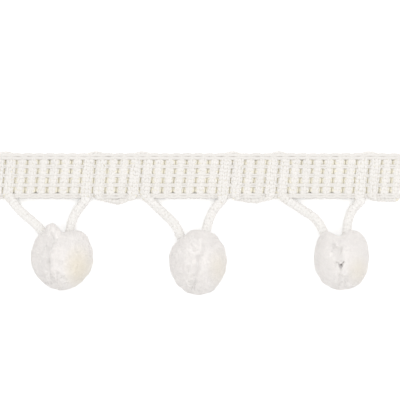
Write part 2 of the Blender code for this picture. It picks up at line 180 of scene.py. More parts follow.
# A leg's course: below the heading, on the way down, and where it goes into its pompom.
LegRoute = namedtuple("LegRoute", "pompom side below upper lower entry")
LEG_ROUTES = (
    LegRoute(1, "left", (-72.9, 9.9, 2.4), (-69.3, 5.4, 3.2), (-63.4, 0.5, 5.9), (-59.4, -3.6, 8.0)),
    LegRoute(1, "right", (-42.2, 9.8, 2.4), (-44.9, 6.4, 3.0), (-47.1, 2.5, 4.8), (-48.5, -3.4, 7.6)),
    LegRoute(2, "left", (-15.1, 9.9, 2.4), (-9.5, 4.6, 3.3), (-4.6, -0.2, 5.8), (-1.8, -6.0, 7.5)),
    LegRoute(2, "right", (15.1, 9.9, 2.4), (11.6, 5.8, 3.2), (9.5, 1.2, 5.6), (8.3, -3.5, 8.2)),
    LegRoute(3, "left", (42.3, 10.0, 2.4), (48.9, 5.8, 3.2), (54.6, 1.6, 5.6), (58.6, -5.6, 7.5)),
    LegRoute(3, "right", (73.5, 9.9, 2.4), (69.9, 6.2, 3.2), (67.9, 1.6, 5.0), (66.9, -4.2, 7.3)),
)

Pompom = namedtuple("Pompom", "x y half_x half_y squareness")
POMPOMS = (
    Pompom(-51.4, -15.0, 12.8, 12.4, 3.5),
    Pompom(4.9, -16.05, 11.9, 13.5, 2.1),
    Pompom(64.7, -14.8, 11.25, 12.6, 2.8),
)
ROUNDNESS = 1.85  # of a pompom's lower half; its squareness is that of the upper half
POMPOM_HALF_Z = 11.7
POMPOM_Z = 11.2
FLOOR_CLEARANCE = 0.1  # below the pile

# Partings of the pile, on the upper side: from one end to the other, from the pompom's middle.
Parting = namedtuple("Parting", "pompom x0 y0 x1 y1 width depth")
PARTINGS = (
    Parting(1, -3.8, 11.4, -3.6, 10.0, 0.8, 1.3),
    Parting(1, -3.0, 8.8, -5.3, 4.9, 1.7, 1.3),
    Parting(1, -5.5, 4.9, -5.2, -5.0, 1.6, 1.0),
    Parting(1, -5.2, 0.8, -5.2, -0.4, 0.7, 1.8),
    Parting(1, -7.5, 6.0, -7.0, -6.0, 3.5, 0.5),
    Parting(2, 2.6, 9.2, 2.6, 5.4, 1.1, 0.9),
    Parting(2, 2.2, 5.0, 0.9, 2.8, 1.4, 0.7),
    Parting(2, 0.3, 3.0, -0.6, -4.8, 1.8, 1.05),
    Parting(2, -4.0, -1.0, -4.2, -3.4, 0.8, 0.8),
    Parting(2, -0.7, -5.2, -1.6, -9.6, 0.8, 0.7),
    Parting(2, -1.7, -10.2, -1.7, -10.9, 0.8, 2.0),
    Parting(3, -4.0, 6.6, -3.6, 5.7, 0.9, 1.3),
    Parting(3, -0.7, 4.9, -1.4, 3.0, 0.8, 1.6),
    Parting(3, -3.2, 6.2, -1.6, 0.6, 2.8, 1.0),
    Parting(3, -2.9, -0.8, -1.4, -2.0, 0.45, 1.8),
    Parting(3, 0.3, -0.7, -0.8, -2.0, 0.45, 2.0),
    Parting(3, -1.3, -2.4, -0.9, -2.3, 0.6, 5.0),
    Parting(3, -1.1, -2.9, -1.1, -3.5, 0.6, 2.0),
    Parting(3, -1.3, -5.0, -1.6, -11.0, 0.9, 0.6),
)
PARTED_ABOVE = POMPOM_HALF_Z / 3  # how far above its middle they have their whole depth
# Where the pile is ruffled: the middle of the patch, its radius, and how much.
Ruffle = namedtuple("Ruffle", "pompom x y radius unevenness")
RUFFLE_POWER = 4  # how flat-topped the patches are
RUFFLES = (
    Ruffle(1, -2.2, -7.6, 4.4, 0.26),
    Ruffle(1, -3.5, 12.0, 3.0, 0.08),
    Ruffle(2, -1.5, -8.5, 3.5, 0.16),
    Ruffle(2, -1.5, 6.5, 3.0, 0.1),
    Ruffle(3, -0.8, -8.5, 4.0, 0.14),
    Ruffle(3, -2.8, 5.0, 3.0, 0.08),
)
# Lobes and notches in a pompom's outline: where, how wide, and how far out or in.
Lobe = namedtuple("Lobe", "pompom angle width height")
LOBES = (
    Lobe(1, 14, 8, 0.3),
    Lobe(1, 33, 9, -0.6),
    Lobe(1, 60, 11, 0.5),
    Lobe(1, 88, 8, -0.9),
    Lobe(1, 107.5, 11.5, 2.7),
    Lobe(1, 102.5, 5, 0.5),
    Lobe(1, 148, 14, -0.5),
    Lobe(2, 18, 16, 0.55),
    Lobe(2, 58, 12, 0.3),
    Lobe(2, 95, 12, 0.2),
    Lobe(2, 114, 8, -0.6),
    Lobe(2, 130, 13, -0.5),
    Lobe(2, -57, 12, 0.45),
    Lobe(3, 60, 14, 0.3),
    Lobe(3, 97, 15, -2.7),
    Lobe(3, -44, 26, 0.6),
    Lobe(3, -140, 27, 0.55),
)
LOBE_POWER = 2.6  # how flat-topped they are
LOBE_THINNESS = 6  # how fast they fade above and below the outline
# Swells of the whole pile: how many go round a pompom, how high they are, and a seed.
Swell = namedtuple("Swell", "waves height seed")
SWELLS = (Swell(7, 0.16, 40), Swell(17, 0.10, 50))
NOISE_LAYERS, NOISE_RANGE = 8, 2.8

YARN_ENDS = 2600  # of each pompom
YARN_SEED = 100
END_JITTER = 0.008  # how far off its even direction a yarn end is, in radians
FIBRES_PER_END = 8
FIBRE_BAND = (0.2, 0.8)  # where a fibre is in its own ring of a yarn end
FIBRE_TURN = 2.4  # radians round a yarn end from one fibre to the next
END_SPREAD = 0.58  # how far a yarn end's fibres spread at their tips
ROOT_SPREAD = 0.35  # share of that at their roots
END_DOME = 0.08  # how much shorter its outermost fibres are
PILE_ROOT, PILE_BODY = 0.93, 0.978  # how far out fibres start and packed yarn reaches
FIBRE_RADII = (0.10, 0.165)  # at its root and at its tip
FIBRE_SIDES = 3
PILE_UNEVENNESS = 0.045  # from one yarn end to the next
FIBRE_UNEVENNESS = 0.4  # share of that from fibre to fibre
MOST_SUNK = 0.18  # the most that unevenness makes a fibre shorter
BODY_RINGS, BODY_SIDES = 64, 96
BODY_TIP = 0.02  # from its poles to its end rings, in radians
NEARLY_UPRIGHT = 0.9  # for directions higher than this, sideways serves as up

# -------- colours

COLOURS = {
    "ground_cord": (0.845, 0.820, 0.788),
    "pompom_cord": (0.840, 0.816, 0.785),
    "chain_row": (0.790, 0.765, 0.732),
    "leg": (0.864, 0.844, 0.819),
    "pompom": (0.958, 0.930, 0.909),
}
WHITE = (1.0, 1.0, 1.0, 1.0)
CREAM = (0.92, 0.85, 0.70)
# Where each pompom has a creamy cast: its middle on the pompom, its radii, and how strong.
Cast = namedtuple("Cast", "pompom x y radius_x radius_y strength")
CASTS = (
    Cast(1, 7.4, -3.0, 4.2, 6.8, 0.54),
    Cast(2, 8.8, -1.8, 3.2, 5.4, 0.28),
    Cast(3, 6.6, -4.4, 3.4, 4.3, 0.3),
)
CAST_EDGE = (0.4, 1.6)  # it fades between these shares of its radii
# Painted light: the pile is made paler up to a little above its middle, lifting the shade round its
# sides.
PAINTED_SIDE_LIGHT = (0.990, 0.958, 0.935)  # the pile is palest round its sides
PAINTED_SIDE_LIGHT_HEIGHTS = (12.5, 20.0)  # where that starts to fade and where it is gone
# Painted shade in the partings: the pile's colour is darkened where it is parted deep.
SHADED_PARTING = (0.3, 1.8)  # depths where parted pile starts to look shaded and is fully so
PARTED_SHADE = 0.86  # share of its paleness it keeps
# The yarn inside a cord: its colour is darker and creamier with painted shade, for the slits where it
# shows.
INNER_YARN_AND_SHADE = (0.85, 0.81, 0.69)
PAPER = (0.955, 0.955, 0.955), (0.97, 0.97, 0.97)

# A material's fibres: how many grains of noise there are to a metre and how detailed they are, the
# strength and height of their relief, how rough they are at least and at most, and their sheen.
Fibres = namedtuple("Fibres", "scale detail strength height smoothest roughest sheen")
YARN_FIBRES = Fibres(3200.0, 5.0, 0.45, 0.08, 0.82, 0.97, 0.05)
INNER_FIBRES = Fibres(1800.0, 4.0, 0.6, 0.15, 0.86, 0.98, 0.1)
PILE_FIBRES = Fibres(4200.0, 4.0, 0.35, 0.06, 0.85, 0.98, 0.3)
PAPER_FIBRES = Fibres(400.0, 3.0, 0.05, 0.05, 0.9, 0.95, 0.0)
SHEEN_ROUGHNESS, SPECULAR = 0.5, 0.15
# Broader noise: its grains to a metre and their detail.
YARN_PATCHES, YARN_FLECKS = (90.0, 2.0), (1400.0, 4.0)
PILE_ENDS, PILE_STREAKS = (1100.0, 1.0), (620.0, 2.0)
STREAK_LENGTH = 5.0  # in widths of a streak
# Bands of a noise's values that are stretched into a whole texture.
EVEN_BAND, CLEAR_BAND, PILE_BAND, STREAK_BAND = (0.3, 0.7), (0.35, 0.65), (0.38, 0.62), (0.4, 0.6)
# Tones of a colour, as factors, for a texture's low and high values.
YARN_TONES, FLECK_TONES = (0.985, 1.01), (0.95, 0.97)
INNER_TONES, PILE_TONES, STREAK_TONE = (0.92, 1.05), (0.975, 1.02), 0.95
# The twist of a yarn's plies: its bands, its relief, and how it is stretched round and along.
PLY_WAVE = {"Scale": 0.31, "Distortion": 0.8, "Detail": 1.0}
PLY_STRENGTH, PLY_HEIGHT = 0.5, 0.12
CORD_PLIES, CHAIN_PLIES, PLY_SLANT = 2.0, 3.0, 1.1

# -------- camera and light

CAMERA_X, CAMERA_Y = 5.9, 10.0
PICTURE_WIDTH = 167.4  # what the picture spans, level with the heading's face
LENS, SENSOR = 200.0, 36.0
CLIPPING = (0.01, 10.0)  # in metres
FACE_Z = 4.0
PAPER_SIZE = 4.0  # in metres

WORLD_STRENGTH = 0.93
LAMP_PLACE, LAMP_SIZE, LAMP_POWER = (80.0, 110.0, 850.0), 900.0, 2.4
FLOOR_GLOW = 0.15

# -------- layout

Row = namedtuple("Row", "y width yarn")
Column = namedtuple("Column", "kind x width inside aside")

# The rows of chain stitch, from the top edge to the bottom edge, where the solids have them.
ROWS = [
    Row((low.y + high.y) / 2 / MM, (high.y - low.y) / MM, yarn)
    for (low, high), yarn in zip(CAD_ROWS, ROW_YARNS)
]
TOP_ROW, BOTTOM_ROW = ROWS[0], ROWS[-1]
HEADING_Y = (TOP_ROW.y + BOTTOM_ROW.y) / 2
WOBBLE = (1.7, 437.585, 12.9898, 78.233, 37.719)  # numbers with nothing in common
NEXT_KEY = 0.3  # added to a key for a second unevenness there


def x_at(column, y):
    """Where a column's middle is at the height y, as it leans."""
    return column.x + COLUMN_SLANT * (y - HEADING_Y)


def column_layout():
    """The columns of cord in order. The inside of a cord bulges sideways in a column until it all
    but meets its neighbour's, so that no light comes up through the slits. At an end of the trim
    it bulges on one side only."""
    middle = (ABOVE_POMPOM + BETWEEN_POMPOMS) * (POMPOM_COUNT - 1) + ABOVE_POMPOM
    kinds = BETWEEN_POMPOMS[1:] + middle + BETWEEN_POMPOMS[:-1]
    edge = -sum(COLUMN_WIDTH[kind] for kind in kinds) / 2
    columns = []
    for number, kind in enumerate(kinds):
        width = COLUMN_WIDTH[kind]
        at_end = number in (0, len(kinds) - 1)
        bare = CORE_INSET + GROUND_SLIT / 2 if at_end else CORE_GAP / 2
        inside = width - CORE_GAP / 2 - bare
        columns.append(Column(kind, edge + width / 2, width, inside, (bare - CORE_GAP / 2) / 2))
        edge += width
    return columns


def column_runs(columns):
    """The columns of ground cord and of pompom cord, as they alternate."""
    grouped = itertools.groupby(columns, key=lambda column: column.kind == "ground")
    return [list(run) for _, run in grouped]


def pompom_stretches(runs):
    """The columns of each stretch of pompom cord: from one pompom's right leg to the next one's
    left leg, or from or to an end of the trim."""
    stretches = []
    for run in runs:
        if run[0].kind == "right_leg" or not stretches and run[0].kind == "outer":
            stretches.append(list(run))
        elif run[0].kind == "outer":
            stretches[-1] += run
    return stretches


def wobble(*keys):
    """A fixed unevenness from -1 to 1, the same each time for the same keys."""
    start, spread, *factors = WOBBLE
    seed = sum(key * factor for key, factor in zip(keys, factors))
    return 2.0 * math.modf(abs(math.sin(seed + start)) * spread)[0] - 1.0


# -------- meshes

Shape = namedtuple("Shape", "points faces uvs")


def skin(points, along=None):
    """Closed strands through rings of points. The arrays hold strands, rings, points round a
    ring and coordinates, and how far along its strand each ring is."""
    around = points.shape[2]
    index = np.arange(points[..., 0].size).reshape(points.shape[:3])
    beside = np.roll(index, -1, axis=2)
    walls = np.stack((index[:, :-1], beside[:, :-1], beside[:, 1:], index[:, 1:]), axis=-1)
    uvs = np.zeros(walls.shape + (2,))
    if along is not None:
        uvs[..., 0] = (np.arange(around)[:, None] + (0, 1, 1, 0)) / around
        uvs[..., (0, 1), 1] = along[:, :-1, None, None]
        uvs[..., (2, 3), 1] = along[:, 1:, None, None]
    faces = [walls.reshape(-1, 4), index[:, 0, ::-1], index[:, -1]]
    cap = np.zeros((len(points), around, 2))
    return Shape(points.reshape(-1, 3), faces, [uvs.reshape(-1, 4, 2), cap, cap])


def distances(points):
    """How far along its row each point is."""
    steps = np.linalg.norm(np.diff(points, axis=-2), axis=-1)
    return np.concatenate((0 * steps[..., :1], np.cumsum(steps, axis=-1)), axis=-1)


def strands(centres, outward, half_widths, half_depths, around):
    """Strands along rows of centres, as wide and deep as asked, with their backs turned outward."""
    tangents = np.gradient(centres, axis=1)
    sides = unit(np.cross(outward, tangents))
    ups = unit(np.cross(tangents, sides))
    angles = np.arange(around) * math.tau / around
    across = np.broadcast_to(half_widths, sides.shape[:2])[..., None] * np.cos(angles)
    upward = np.broadcast_to(half_depths, sides.shape[:2])[..., None] * np.sin(angles)
    points = (
        centres[:, :, None]
        + sides[:, :, None] * across[..., None]
        + ups[:, :, None] * upward[..., None]
    )
    return skin(points, distances(centres))


def unit(vectors):
    return vectors / np.maximum(np.linalg.norm(vectors, axis=-1, keepdims=True), TINY)


def add_object(name, data):
    made = bpy.data.objects.new(name, data)
    bpy.context.scene.collection.objects.link(made)
    return made


def make_piece(name, shapes, materials, node):
    """A piece of the trim from shapes, in place of a CAD node. Shape number i gets material i."""
    mesh = bpy.data.meshes.new(name)
    points, faces, uvs, finishes = [], [], [], []
    start = 0
    for finish, group in enumerate(shapes):
        for shape in group:
            points.append(shape.points)
            for corners, places in zip(shape.faces, shape.uvs):
                faces += (corners + start).tolist()
                uvs.append(places.reshape(-1))
                finishes.append(np.full(len(corners), finish))
            start += len(shape.points)
    mesh.from_pydata((np.concatenate(points) * MM).tolist(), [], faces)
    mesh.uv_layers.new(name="strand").data.foreach_set("uv", np.concatenate(uvs))
    mesh.polygons.foreach_set("material_index", np.concatenate(finishes).astype(np.int32))
    mesh.shade_smooth()
    for material in materials:
        mesh.materials.append(material)
    piece = add_object(name, mesh)
    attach(piece, "root")
    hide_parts(node)
    return piece


# -------- a knitted cord

# A point of a cord's course, its section there, how square that section is, from 0 to 1, how
# wide the cord's inside is and how far it is aside, to the right as seen going along the cord.
Knot = namedtuple("Knot", "x y z width thickness square inside aside")


def free_knot(x, y, z, width, thickness, square):
    """A knot where the cord's inside stays below its surface all round."""
    return Knot(x, y, z, width, thickness, square, width - 2 * CORE_INSET, 0.0)


def column_knot(column, y, slit, thickness):
    section = (column.width - slit, thickness, 1.0)
    return Knot(x_at(column, y), y, CORD_Z, *section, column.inside, column.aside)


Place = namedtuple("Place", "centre side up halves square inside aside")


class Cord:
    """A cord's course: its centre, its sideways and upward directions and its size along it."""

    def __init__(self, knots):
        knots = np.array(knots)
        place = distances(knots[:, :3])
        steps = np.arange(0.0, place[-1], PATH_STEP)
        values = np.stack([np.interp(steps, place, column) for column in knots.T], axis=1)
        values = self.soften(values)
        centres = values[:, :3]
        self.along = distances(centres)
        self.length = self.along[-1]
        heading = unit(np.gradient(centres, axis=0))
        side = unit(np.cross(heading, UPWARD))
        size = (values[:, 3:5] / 2, values[:, 5:6], values[:, 6:7] / 2, values[:, 7:])
        self.table = Place(centres, side, unit(np.cross(side, heading)), *size)

    @staticmethod
    def soften(values):
        """Rounds the corners of a course, and leaves its ends where they are."""
        reach = int(3 * PATH_SOFTNESS / PATH_STEP)
        weights = np.exp(-0.5 * (np.arange(-reach, reach + 1) * PATH_STEP / PATH_SOFTNESS) ** 2)
        before = 2 * values[0] - values[reach:0:-1]
        after = 2 * values[-1] - values[-2 : -reach - 2 : -1]
        padded = np.concatenate((before, values, after))
        columns = [np.convolve(column, weights / weights.sum(), "valid") for column in padded.T]
        return np.stack(columns, axis=1)

    def above(self, y):
        """How far along the cord is above the height y, first and last."""
        return self.along[self.table.centre[:, 1] > y][[0, -1]]

    def at(self, along):
        """The cord at distances along it."""
        picked = (
            np.stack([np.interp(along, self.along, column) for column in part.T], axis=-1)
            for part in self.table
        )
        return Place(*picked)


def surface(place, turn, height):
    """Points of a cord at shares of a turn round its section, raised by height, with outward
    directions."""
    square = place.square[..., 0]
    wide, thick = np.moveaxis(place.halves, -1, 0)
    across, up = section_point(turn, square)
    sideways = place.side * ((wide + height) * across)[..., None]
    points = place.centre + sideways + place.up * ((thick + height) * up)[..., None]
    steep = 1 + (SQUARENESS - 2) * square
    outward = place.side * (signed_power(across, steep) / wide)[..., None]
    return points, unit(outward + place.up * (signed_power(up, steep) / thick)[..., None])


def signed_power(values, power):
    return np.sign(values) * np.abs(values) ** power


def section_table(squareness, aspect):
    """Points evenly spaced round a section."""
    angles = np.linspace(0, math.tau, SECTION_SAMPLES)
    across = signed_power(np.cos(angles), 2 / squareness)
    up = signed_power(np.sin(angles), 2 / squareness)
    steps = np.hypot(np.diff(across) * aspect, np.diff(up))
    share = np.concatenate(([0.0], np.cumsum(steps)))
    return share / share[-1], across, up


ROUND_SECTION, SQUARE_SECTION = section_table(2.0, 1.0), section_table(SQUARENESS, SECTION_ASPECT)


def section_point(turn, square):
    """Where a section is at a share of a turn round it, between round and square."""
    turn = np.mod(turn, 1.0)
    rounded = [np.interp(turn, ROUND_SECTION[0], values) for values in ROUND_SECTION[1:]]
    squared = [np.interp(turn, SQUARE_SECTION[0], values) for values in SQUARE_SECTION[1:]]
    return tuple(r + (q - r) * square for r, q in zip(rounded, squared))


def knit(cord, start, stop):
    """The V stitches of a knitted cord between two distances along it."""
    courses = np.arange(math.ceil(start / STITCH_PITCH), math.ceil(stop / STITCH_PITCH))
    starts = courses * STITCH_PITCH
    courses = courses[(starts > FIRST_STITCH) & (starts < cord.length - LAST_STITCH)]
    grid = np.meshgrid(courses, np.arange(WALES), (-1, 1), indexing="ij")
    course, wale, hand = (values.reshape(-1, 1).astype(float) for values in grid)
    arm = Arm(*np.array(STITCH_ARM).T)
    rng = np.random.default_rng(len(courses))
    shift, swing, lift = rng.normal(size=(3, *course.shape))
    along = (course + arm.along + shift * ARM_UNEVENNESS.along) * STITCH_PITCH
    across = hand * arm.across + swing * ARM_UNEVENNESS.across
    turn = (wale + 0.5 + across) / WALES + TWIST * along
    height = arm.height - ARM_DEPTH + lift * ARM_UNEVENNESS.height
    place = cord.at(along)
    centres, outward = surface(place, turn, height)
    girth = arm.girth * (1 + ARM_UNEVENNESS.girth * rng.normal(size=course.shape))
    round_cord = GIRTH_SHARE * place.halves.sum(axis=-1)
    half_widths = ARM_SHARE * round_cord / WALES * girth
    return strands(centres, outward, half_widths, ARM_DEPTH * girth, ARM_SIDES)


def cord_core(cord, start, stop):
    """The inside of a knitted cord."""
    along = np.linspace(start, stop, max(3, int((stop - start) / CORE_STEP)))
    turn = np.arange(CORE_SIDES) / CORE_SIDES
    place = cord.at(along)
    taper = np.clip(CORE_END + np.minimum(along - start, stop - along), 0, 1)[:, None]
    across, up = section_point(turn[None], place.square)
    wide = place.inside * taper * across
    high = (place.halves[:, 1:] - CORE_INSET) * taper * up
    centres = place.centre + place.side * place.aside
    aside = place.side[:, None] * wide[..., None]
    return skin((centres[:, None] + aside + place.up[:, None] * high[..., None])[None])


def column_knots(column):
    """A cord's knots up one column, from the bottom row to the top row."""
    on_ground = column.kind == "ground"
    knots = []
    for order, (upper, lower) in enumerate(zip(ROWS, ROWS[1:])):
        top, bottom = upper.y - upper.width / 2, lower.y + lower.width / 2
        slit = GROUND_SLIT if on_ground else POMPOM_SLIT
        slit += SLIT_SPREAD * wobble(column.x, order)
        full = GROUND_FULL if on_ground else POMPOM_FULL
        middle = (top + bottom) / 2
        for y in (middle + FULL_REACH, middle - FULL_REACH):
            knots.append(column_knot(column, y, slit, full))
        if lower is not BOTTOM_ROW:
            gripped = GROUND_GRIPPED if on_ground else POMPOM_FULL
            knots.append(column_knot(column, lower.y, slit, gripped))
    return knots[::-1]


def turn_knots(first, second, start_y, reach):
    """A hairpin from one column to the next, at the top edge or, with a negative reach, at the
    bottom edge. The inside of the cord fills the hairpin up."""
    left, right = x_at(first, start_y), x_at(second, start_y)
    middle = (left + right) / 2
    inward = math.copysign(1.0, reach)
    knots = []
    for angle in np.radians(TURN_ANGLES):
        x = middle - (right - left) / 2 * math.cos(angle)
        turned = math.sin(angle)
        column = first if x < middle else second
        straight = column.width - TURN_SLIT
        width = straight + (TURN_WIDTH - straight) * turned
        outer = (column.inside * (1 - turned) + (TURN_WIDTH - 2 * CORE_INSET) * turned) / 2
        inner = max(outer, abs(x - middle) - CORE_GAP / 2)
        aside = column.aside * (1 - turned) + inward * (inner - outer) / 2
        section = (width, EDGE_THICKNESS, 1.0 - (1.0 - TURN_SQUARE) * turned)
        knots.append(Knot(x, start_y + reach * turned, CORD_Z, *section, outer + inner, aside))
    return knots


def top_turn(first, second):
    start = TOP_ROW.y - TOP_ROW.width / 2 + TURN_START
    rise = 0.0 if first.kind == "ground" else HUMP_RISE
    return turn_knots(first, second, start, TOP_ROW.y - start + rise)


def bottom_turn(first, second):
    start = BOTTOM_ROW.y + BOTTOM_ROW.width / 2 - TURN_START
    return turn_knots(first, second, start, BOTTOM_ROW.y - start)


def hairpin(first, second):
    """A cord's knots up one column, over the top edge and down the next column."""
    return column_knots(first) + top_turn(first, second) + column_knots(second)[::-1]


def ground_knots(run):
    """A stretch of ground cord, up and down its columns, with both ends in the bottom row."""
    low = BOTTOM_ROW.y - BOTTOM_ROW.width / 2 + END_INSET
    first_end, last_end = (
        free_knot(x_at(end, low), low, CORD_Z, end.width - END_SLIT, EDGE_THICKNESS, 1.0)
        for end in (run[0], run[-1])
    )
    knots = [first_end]
    for number, (first, second) in enumerate(zip(run[::2], run[1::2])):
        if number:
            knots += bottom_turn(run[2 * number - 1], first)
        knots += hairpin(first, second)
    return knots + [last_end]


def leg_knots(route, column):
    """A leg from inside its pompom up to the heading, and the first stretch of its column."""
    pompom = POMPOMS[route.pompom - 1]
    centre = np.array((pompom.x, pompom.y, POMPOM_Z))
    deep = centre + (np.array(route.entry) - centre) * LEG_END_DEPTH
    places = (deep, route.entry, route.lower, route.upper, route.below)
    sizes = [LEG_DIAMETER * LEG_END_TAPER] + 4 * [LEG_DIAMETER]
    knots = [free_knot(*place, size, size, 0.0) for place, size in zip(places, sizes)]
    for y in (LEG_START[route.side], COLUMN_BOTTOM):
        knots.append(column_knot(column, y, POMPOM_SLIT, POMPOM_FULL))
    return smooth_knots(knots)


def float_corner(column, side):
    """The pompom cord comes down an outer column and turns to float under the lower edge."""
    start = FLOAT_CORNER[0].y
    straight = np.array(column_knot(column, start, POMPOM_SLIT, POMPOM_FULL))
    turned = np.array(float_knot(0.0, 0.0))
    knots = []
    for corner in FLOAT_CORNER:
        x = x_at(column, start) + side * corner.aside
        knots.append(Knot(x, corner.y, *(straight + (turned - straight) * corner.share)[2:]))
    return knots


def float_knot(x, y):
    return free_knot(x, y, FLOAT_Z, FLOAT_WIDTH, FLOAT_THICKNESS, FLOAT_SQUARE)


def smooth_knots(knots):
    """More knots on a Catmull-Rom curve through a few."""
    table = np.array(knots)
    padded = np.concatenate(([2 * table[0] - table[1]], table, [2 * table[-1] - table[-2]]))
    curve = []
    for a, b, c, d in zip(padded, padded[1:], padded[2:], padded[3:]):
        for t in np.linspace(0, 1, CURVE_STEPS, endpoint=False):
            bend = (2 * a - 5 * b + 4 * c - d) * t**2 + (3 * b - a - 3 * c + d) * t**3
            curve.append(Knot(*(0.5 * (2 * b + (c - a) * t + bend))))
    return curve + [knots[-1]]


def float_end(column, side, y):
    """Where a float ends at an end of the trim, under the last ground column."""
    beyond = sum(COLUMN_WIDTH[kind] for kind in BETWEEN_POMPOMS[1:3])
    return float_knot(x_at(column, y) + side * (column.width / 2 + beyond), y)


def pompom_cord_knots(run, left_route, right_route, float_y):
    """A stretch of pompom cord: a leg and a hairpin, a float under the ground cord, and a hairpin
    and a leg. At an end of the trim it starts or ends with the float."""
    before, after = [], []
    if left_route:
        leg, outer = run[:2]
        before = leg_knots(left_route, leg) + hairpin(leg, outer)
        floating = float_corner(outer, 1)
    else:
        floating = [float_end(run[0], -1, float_y)]
    if left_route and right_route:
        floating.append(float_knot((run[1].x + run[2].x) / 2, float_y))
    if right_route:
        outer, leg = run[-2:]
        floating += float_corner(outer, -1)[::-1]
        after = hairpin(outer, leg) + leg_knots(right_route, leg)[::-1]
    else:
        floating.append(float_end(run[-1], 1, float_y))
    return before + smooth_knots(floating) + after


def make_cord(cord, start, stop, finishes, node, slot):
    """The knitted piece of a cord between two distances along it."""
    shapes = ([knit(cord, start, stop)], [cord_core(cord, start, stop)])
    make_piece(f"{node}_knit", shapes, finishes, node)


def make_ground_cords(runs, finishes):
    for number, run in enumerate([run for run in runs if run[0].kind == "ground"], 1):
        cord = Cord(ground_knots(run))
        make_cord(cord, 0.0, cord.length, finishes, f"ground_cord_{number}", "ground_cord")


def make_pompom_cords(runs, finishes, leg_finishes):
    """Each stretch is laid out with its legs and then cut, so that they join without a seam."""
    legs = {(route.pompom, route.side): route for route in LEG_ROUTES}
    low = BOTTOM_ROW.y - BOTTOM_ROW.width / 2 - LEG_GAP
    for number, (run, float_y) in enumerate(zip(pompom_stretches(runs), FLOAT_Y), 1):
        before = legs.get((number - 1, "right"))
        after = legs.get((number, "left"))
        cord = Cord(pompom_cord_knots(run, before, after, float_y))
        first, last = cord.above(low)
        start, stop = first if before else 0.0, last if after else cord.length
        for route, ends in ((before, (0.0, start)), (after, (stop, cord.length))):
            if route:
                node = f"leg_{route.pompom}_{route.side}"
                make_cord(cord, *ends, leg_finishes, node, "leg")
        make_cord(cord, start, stop, finishes, f"pompom_cord_{number}", "pompom_cord")


# -------- rows of chain stitch


def shows_in_front(row, column):
    """The pompom cord's columns lie in front of every row but the top one."""
    return row is TOP_ROW or column.kind == "ground"


def link_strands(row, table, starts, reaches):
    """Links of a row, two strands each, from their starts as far as they reach along the trim."""
    yarn = row.yarn
    along, spread, height, girth = np.array(table).T
    pinch = 1.0 if row in (TOP_ROW, BOTTOM_ROW) else MIDDLE_PINCH
    aside = yarn.spread * (1 - pinch * (1 - spread))
    dip = yarn.dip * np.sin(np.clip(along, 0, 1) * math.pi) if table is OVER_SLIT else 0.0
    centres = []
    for start, reach in zip(starts, reaches):
        for hand in (-1, 1):
            swing = LINK_SWING * wobble(start, row.y, hand)
            lift = LINK_LIFT * wobble(start, row.y, hand + NEXT_KEY)
            y = row.y + yarn.shift + hand * aside + swing * spread
            z = yarn.crown - yarn.radius * LINK_DEPTH + height * yarn.radius - dip + lift
            centres.append(np.stack((start + along * reach, y, z), axis=-1))
    radius = girth * yarn.radius
    return strands(np.array(centres), UPWARD, radius, radius * LINK_DEPTH, LINK_SIDES)


def chain_links(row, columns):
    """The links in front: over each slit, and down beside the pompom cord's columns."""
    crossed, ended, sunk = [], [], []
    for left, right in itertools.pairwise([None, *columns, None]):
        shown = [column for column in (left, right) if column and shows_in_front(row, column)]
        if len(shown) == 2:
            crossed.append((x_at(left, row.y), x_at(right, row.y) - x_at(left, row.y)))
        elif shown:
            column, side = shown[0], 1 if shown[0] is left else -1
            ended.append((x_at(column, row.y), side * column.width / 2))
        if left and right and len(shown) < 2:
            sunk.append((x_at(left, row.y) + left.width / 2, IN_SLIT_REACH))
    return [
        link_strands(row, table, *zip(*places))
        for table, places in ((OVER_SLIT, crossed), (TO_EDGE, ended), (IN_SLIT, sunk))
        if places
    ]


def back_strands(row, columns):
    """The strands behind, nearly straight, that the columns lie on."""
    x = np.array([x_at(column, row.y) for column in columns])
    widths = np.array([column.width for column in columns])
    places = np.sort(np.concatenate((x - widths / 2, x, [x[-1] + widths[-1] / 2])))
    together = np.arange(len(places)) % 2 == 0
    aside = row.yarn.spread * (1 - BACK_WAVE * together)
    z = BACK_Z + BACK_RISE * together
    centres = [np.stack((places, row.y + hand * aside, z), axis=-1) for hand in (-1, 1)]
    return strands(np.array(centres), UPWARD, BACK_RADIUS, BACK_RADIUS, LINK_SIDES)


def make_chain_rows(columns, finishes):
    for number, row in enumerate(ROWS, 1):
        node = f"chain_row_{number}"
        shapes = (chain_links(row, columns) + [back_strands(row, columns)],)
        make_piece(f"{node}_stitches", shapes, finishes, node)


# -------- pompoms


def even_directions(count):
    """Directions spread evenly over a sphere."""
    order = np.arange(count) + 0.5
    height = 1 - 2 * order / count
    angle = order * math.pi * (3 - math.sqrt(5))
    flat = np.sqrt(1 - height**2)
    return np.stack((flat * np.cos(angle), flat * np.sin(angle), height), axis=-1)


def smooth_noise(directions, waves, seed):
    """A gentle unevenness over a sphere, from about -1 to 1, with that many waves round it."""
    rng = np.random.default_rng(seed)
    total = np.zeros(directions.shape[:-1])
    for _ in range(NOISE_LAYERS):
        axis = unit(rng.normal(size=3)) * waves
        total += np.sin(directions @ axis + rng.uniform(0, math.tau))
    return total / NOISE_RANGE


def of_pompom(number, table):
    """The entries of a table that belong to a pompom."""
    return [entry for entry in table if entry.pompom == number]


def shell_reach(pompom, directions):
    """How far a pompom's plain form is from its middle."""
    x, y, z = np.moveaxis(directions, -1, 0)
    power = np.where(y > 0, pompom.squareness, ROUNDNESS)
    across = np.abs(x / pompom.half_x) ** power + np.abs(y / pompom.half_y) ** power
    return 1 / np.hypot(across ** (1 / power), z / POMPOM_HALF_Z)


